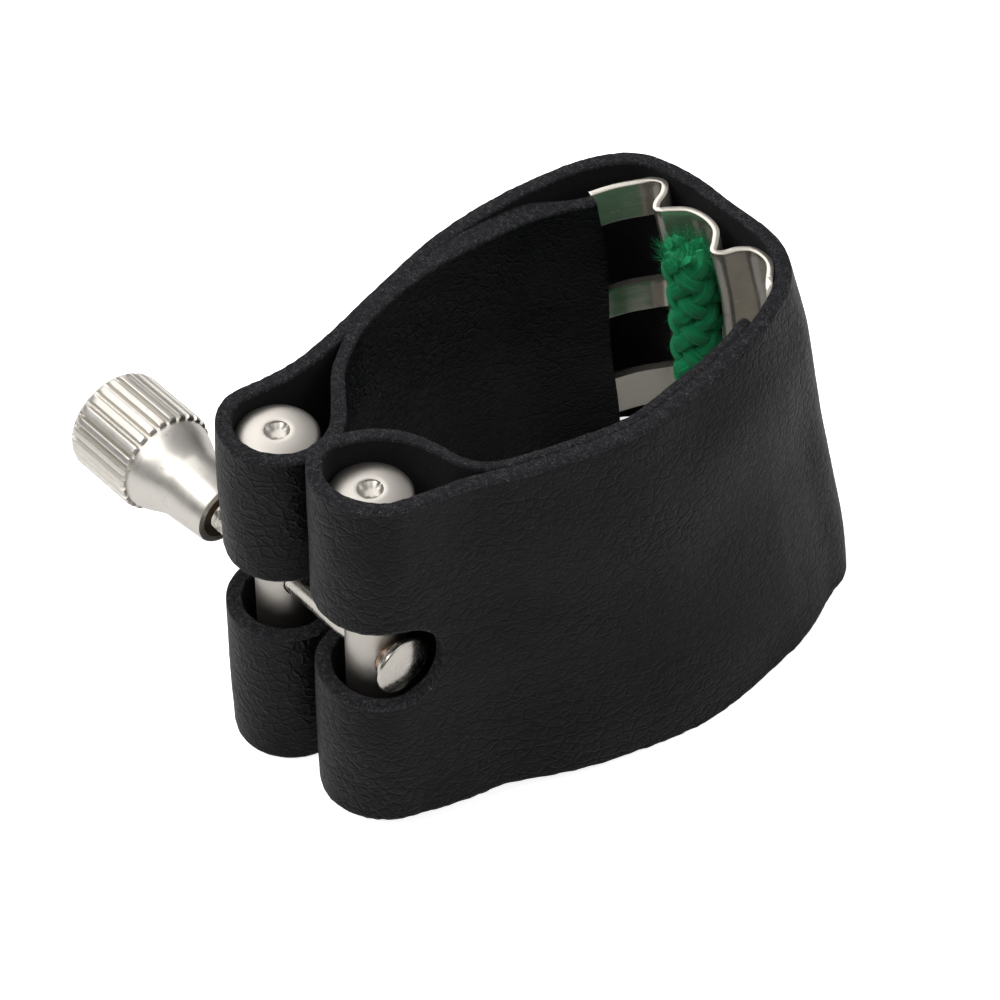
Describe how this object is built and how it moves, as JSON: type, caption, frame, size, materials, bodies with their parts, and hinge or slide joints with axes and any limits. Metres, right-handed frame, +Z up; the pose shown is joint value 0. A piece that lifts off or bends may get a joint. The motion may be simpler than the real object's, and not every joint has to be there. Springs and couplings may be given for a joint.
{
  "type": "saxophone ligature",
  "caption": "Folded leather mouthpiece clamp band with two pins in its end loops, a cross bolt with a knurled thumb nut, and a sprung metal reed plate carrying a cord.",
  "frame": {"origin": "on the plane the lower rim stands on, under the middle of the whole object's bounding box", "axes": "+Z up along the mouthpiece axis, -Y towards the two pins, +Y towards the reed plate, the bolt along X with the thumb nut at -X"},
  "size_m": [0.0386, 0.0456, 0.0318],
  "materials": {
    "leather": "black, fine pebble grain, satin",
    "nickel": "bright nickel plate, lightly worn",
    "cord": "braided fibre, matt"
  },
  "bodies": {
    "band_back": {"strap_back": "leather", "reed_plate": "nickel", "reed_cord": "cord"},
    "left_arm": {"strap_arm_left": "leather"},
    "right_arm": {"strap_arm_right": "leather"},
    "left_pin": {"pin_left": "nickel"},
    "right_pin_and_bolt": {"pin_right": "nickel", "clamp_bolt": "nickel"},
    "nut": {"thumb_nut": "nickel"}
  },
  "joints": [
    {"name": "nut_turn", "type": "hinge", "parent": "left_pin", "child": "nut", "pos_m": [-0.01082, -0.01871, 0.0157], "axis": [-1, 0, 0], "range_deg": [0, 3600]},
    {"name": "left_arm_bend", "type": "hinge", "parent": "band_back", "child": "left_arm", "pos_m": [-0.00612, 0.01629, 0.0145], "axis": [0, 0, -1], "range_deg": [0, 3.8]},
    {"name": "right_arm_bend", "type": "hinge", "parent": "band_back", "child": "right_arm", "pos_m": [0.01448, 0.01629, 0.0145], "axis": [0, 0, 1], "range_deg": [0, 3.8]},
    {"name": "left_pin_swivel", "type": "hinge", "parent": "left_arm", "child": "left_pin", "pos_m": [-0.00052, -0.01871, 0.0145], "axis": [0, 0, 1], "range_deg": [0, 3.8]},
    {"name": "right_pin_swivel", "type": "hinge", "parent": "right_arm", "child": "right_pin_and_bolt", "pos_m": [0.00888, -0.01871, 0.0145], "axis": [0, 0, -1], "range_deg": [0, 3.8]}
  ],
  "couplings": [
    {"joint": "left_arm_bend", "follows": "nut_turn", "ratio": 0.001026},
    {"joint": "right_arm_bend", "follows": "nut_turn", "ratio": 0.001026},
    {"joint": "left_pin_swivel", "follows": "nut_turn", "ratio": 0.001026},
    {"joint": "right_pin_swivel", "follows": "nut_turn", "ratio": 0.001026}
  ]
}
